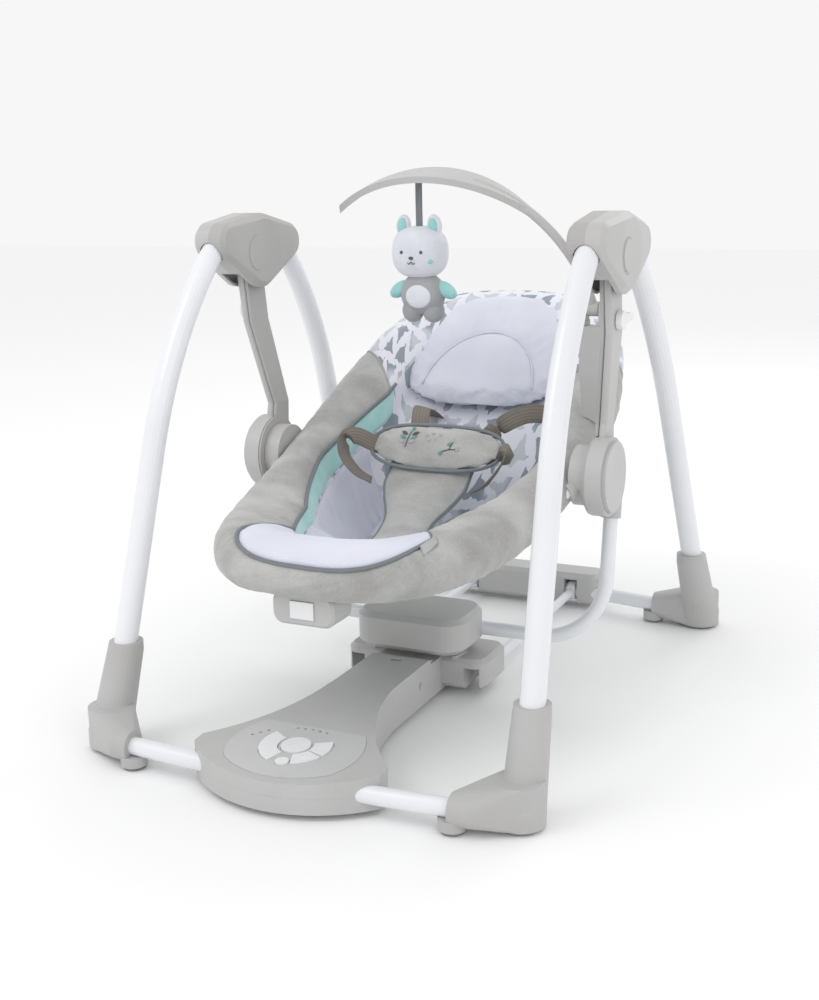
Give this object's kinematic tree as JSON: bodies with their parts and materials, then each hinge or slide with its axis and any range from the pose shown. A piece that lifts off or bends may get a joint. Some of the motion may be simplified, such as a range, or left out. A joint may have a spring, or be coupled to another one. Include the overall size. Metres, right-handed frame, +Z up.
{
  "type": "baby swing",
  "caption": "Portable baby swing: folding tube A-frames, a motor console on the floor, a reclining padded seat on two pendulum arms, a harness and a toy bar with a soft toy.",
  "frame": {"origin": "on the floor, under the middle of the whole swing", "axes": "+Z up, -Y towards the foot end and the control panel, +X to the right of someone who faces the panel"},
  "size_m": [0.594, 0.8027, 0.6415],
  "materials": {
    "bare_steel": "turned",
    "battery_green": "printed sleeve",
    "board_green": "solder mask",
    "copper": "enamelled wire",
    "key_white": "gloss",
    "mesh_white": "smooth knit",
    "panel_grey": "satin",
    "plastic_dark": "matt",
    "plastic_grey": "satin moulded plastic",
    "plush_grey": "short plush",
    "rubber_grey": "matt",
    "toy_plush": "short plush",
    "tube_white": "gloss powder coat",
    "webbing": "woven"
  },
  "bodies": {
    "base_frame": {"front_leg_uppers": "tube_white", "front_leg_lowers": "tube_white", "front_foot_left": "plastic_grey", "front_foot_right": "plastic_grey", "front_foot_pads": "rubber_grey", "front_bar": "tube_white", "hub_outer_left": "plastic_grey", "hub_outer_right": "plastic_grey", "hub_inner_shells": "plastic_grey", "hub_axles": "bare_steel", "console_base": "plastic_grey", "console_cover": "plastic_grey", "control_panel": "panel_grey", "battery_door": "plastic_grey", "batteries": "battery_green", "circuit_board": "board_green", "speaker": "plastic_dark", "drive_coil": "copper", "console_screws": "bare_steel"},
    "power_key": {"power_button": "key_white"},
    "timer_key": {"timer_button": "key_white"},
    "mode_key": {"mode_button": "key_white"},
    "speed_key": {"speed_button": "key_white"},
    "melody_key": {"melody_button": "key_white"},
    "fold_key_left": {"fold_button_left": "plastic_grey"},
    "fold_key_right": {"fold_button_right": "plastic_grey"},
    "rear_frame": {"rear_leg_uppers": "tube_white", "rear_leg_lowers": "tube_white", "rear_foot_left": "plastic_grey", "rear_foot_right": "plastic_grey", "rear_foot_pads": "rubber_grey", "rear_bar": "tube_white", "rear_bridge": "plastic_grey", "fold_plates": "plastic_grey"},
    "links": {"link_tubes": "tube_white"},
    "pendulum": {"hub_bushes": "key_white", "arm_outer_left": "plastic_grey", "arm_outer_right": "plastic_grey", "arm_inner_covers": "plastic_grey", "u_tube": "tube_white", "pod_cover": "plastic_grey", "pod_base": "plastic_grey", "pod_magnets": "bare_steel"},
    "lock_left": {"swing_lock_left": "key_white"},
    "lock_right": {"swing_lock_right": "key_white"},
    "seat": {"seat_hub_left": "plastic_grey", "seat_hub_right": "plastic_grey", "seat_frame_loops": "tube_white", "seat_rim_roll": "plush_grey", "seat_pad": "mesh_white", "vibration_housing": "plastic_grey", "vibration_motor": "bare_steel", "head_pillow": "mesh_white", "crotch_piece": "plush_grey", "belt_pad": "plush_grey", "harness_straps": "webbing", "toy_bar_mount": "plastic_grey"},
    "vibration_key": {"vibration_button": "key_white"},
    "toy_arch": {"toy_bar": "plastic_grey"},
    "toy": {"hanging_toy": "toy_plush"}
  },
  "joints": [
    {"name": "power_press", "type": "slide", "parent": "base_frame", "child": "power_key", "axis": [0, 0.0802, -0.9968], "range_m": [0, 0.0015], "stiffness_N_per_m": 400},
    {"name": "timer_press", "type": "slide", "parent": "base_frame", "child": "timer_key", "axis": [0, 0.0802, -0.9968], "range_m": [0, 0.0015], "stiffness_N_per_m": 400},
    {"name": "mode_press", "type": "slide", "parent": "base_frame", "child": "mode_key", "axis": [0, 0.0802, -0.9968], "range_m": [0, 0.0015], "stiffness_N_per_m": 400},
    {"name": "speed_press", "type": "slide", "parent": "base_frame", "child": "speed_key", "axis": [0, 0.0802, -0.9968], "range_m": [0, 0.0015], "stiffness_N_per_m": 400},
    {"name": "melody_press", "type": "slide", "parent": "base_frame", "child": "melody_key", "axis": [0, 0.0802, -0.9968], "range_m": [0, 0.0015], "stiffness_N_per_m": 400},
    {"name": "fold_press_left", "type": "slide", "parent": "base_frame", "child": "fold_key_left", "axis": [1, 0, 0], "range_m": [0, 0.002], "stiffness_N_per_m": 400},
    {"name": "fold_press_right", "type": "slide", "parent": "base_frame", "child": "fold_key_right", "axis": [-1, 0, 0], "range_m": [0, 0.002], "stiffness_N_per_m": 400},
    {"name": "frame_fold", "type": "hinge", "parent": "base_frame", "child": "rear_frame", "pos_m": [0, 0.004, 0.544], "axis": [1, 0, 0], "range_deg": [-20, 0]},
    {"name": "link_turn", "type": "hinge", "parent": "rear_frame", "child": "links", "pos_m": [0, 0.36555, 0.025], "axis": [1, 0, 0], "range_deg": [-0.5, 4.5]},
    {"name": "swing", "type": "hinge", "parent": "base_frame", "child": "pendulum", "pos_m": [0, 0.004, 0.544], "axis": [1, 0, 0], "range_deg": [-12, 12]},
    {"name": "lock_turn_left", "type": "hinge", "parent": "pendulum", "child": "lock_left", "pos_m": [-0.244, 0.014, 0.468], "axis": [1, 0, 0], "range_deg": [0, 40]},
    {"name": "lock_turn_right", "type": "hinge", "parent": "pendulum", "child": "lock_right", "pos_m": [0.244, 0.014, 0.468], "axis": [1, 0, 0], "range_deg": [0, 40]},
    {"name": "recline", "type": "hinge", "parent": "pendulum", "child": "seat", "pos_m": [0, 0.023, 0.283], "axis": [1, 0, 0], "range_deg": [-12, 0]},
    {"name": "vibration_press", "type": "slide", "parent": "seat", "child": "vibration_key", "axis": [0, 1, 0], "range_m": [0, 0.0015], "stiffness_N_per_m": 400},
    {"name": "toy_bar_tilt", "type": "hinge", "parent": "seat", "child": "toy_arch", "pos_m": [0.186, 0.108, 0.47], "axis": [1, 0, 0], "range_deg": [-60, 0]},
    {"name": "toy_sway", "type": "hinge", "parent": "toy_arch", "child": "toy", "pos_m": [-0.027, 0.06887, 0.62696], "axis": [1, 0, 0], "range_deg": [-25, 25]}
  ],
  "couplings": [
    {"joint": "link_turn", "follows": "frame_fold", "ratio": -0.2}
  ]
}
